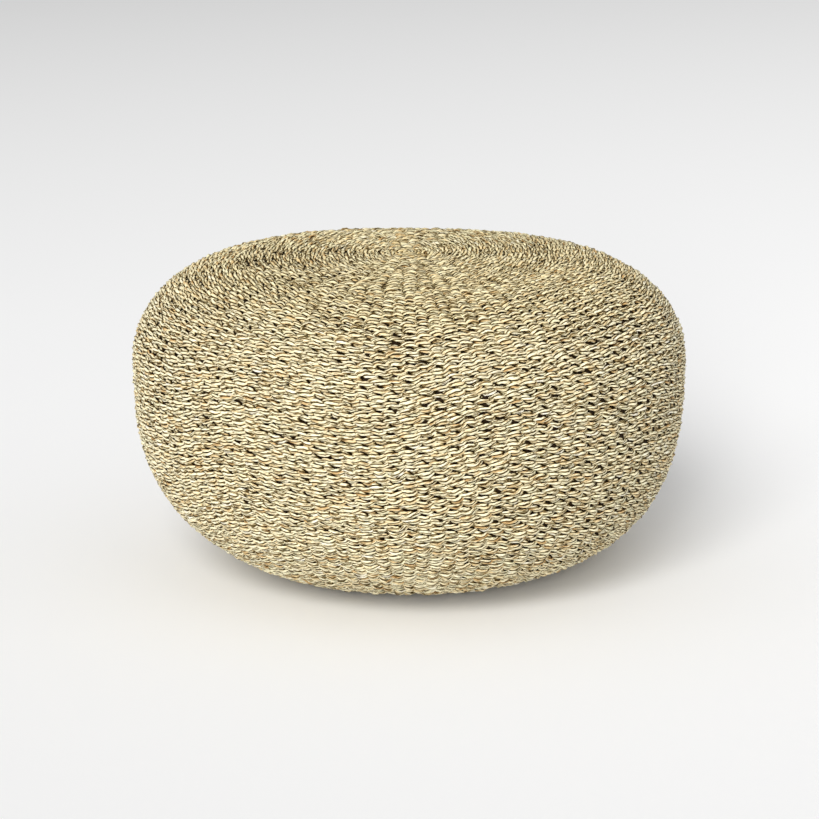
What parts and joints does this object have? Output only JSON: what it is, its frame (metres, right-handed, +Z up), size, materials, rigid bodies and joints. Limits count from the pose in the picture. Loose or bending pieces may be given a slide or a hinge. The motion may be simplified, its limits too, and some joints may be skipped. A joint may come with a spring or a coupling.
{
  "type": "round woven outdoor ottoman",
  "caption": "Round footstool and low seat: a hand-twined seagrass cover over a welded steel cage, on plastic glides.",
  "frame": {"origin": "on the floor, under the middle of the round base", "axes": "+Z up along the middle of the round body, from the base to the crown; -Y is the side seen in the picture, +X its right"},
  "size_m": [0.61, 0.61, 0.3556],
  "materials": {
    "seagrass_weave": "hand-twisted dry seagrass, twined in close rows, matt with a faint waxy sheen",
    "seagrass_border": "plaited seagrass, matt",
    "frame_steel": "black powder coat, satin",
    "board_plywood": "thin plywood, dark stained, matt",
    "glide_plastic": "moulded black polyethylene, satin",
    "screw_steel": "zinc-plated steel, semi-gloss"
  },
  "bodies": {
    "root": {"woven_cover": "seagrass_weave", "crown_start": "seagrass_border", "base_hem": "seagrass_border", "base_board": "board_plywood", "rib_1": "frame_steel", "rib_2": "frame_steel", "rib_3": "frame_steel", "rib_4": "frame_steel", "rib_5": "frame_steel", "rib_6": "frame_steel", "rib_7": "frame_steel", "rib_8": "frame_steel", "rib_9": "frame_steel", "rib_10": "frame_steel", "rib_11": "frame_steel", "rib_12": "frame_steel", "crown_ring": "frame_steel", "seat_ring": "frame_steel", "shoulder_ring": "frame_steel", "waist_ring": "frame_steel", "belly_ring": "frame_steel", "base_ring": "frame_steel", "base_bar_through": "frame_steel", "base_bar_back": "frame_steel", "base_bar_front": "frame_steel", "glide_1": "glide_plastic", "glide_screw_1": "screw_steel", "glide_2": "glide_plastic", "glide_screw_2": "screw_steel", "glide_3": "glide_plastic", "glide_screw_3": "screw_steel", "glide_4": "glide_plastic", "glide_screw_4": "screw_steel", "glide_5": "glide_plastic", "glide_screw_5": "screw_steel"}
  },
  "joints": []
}
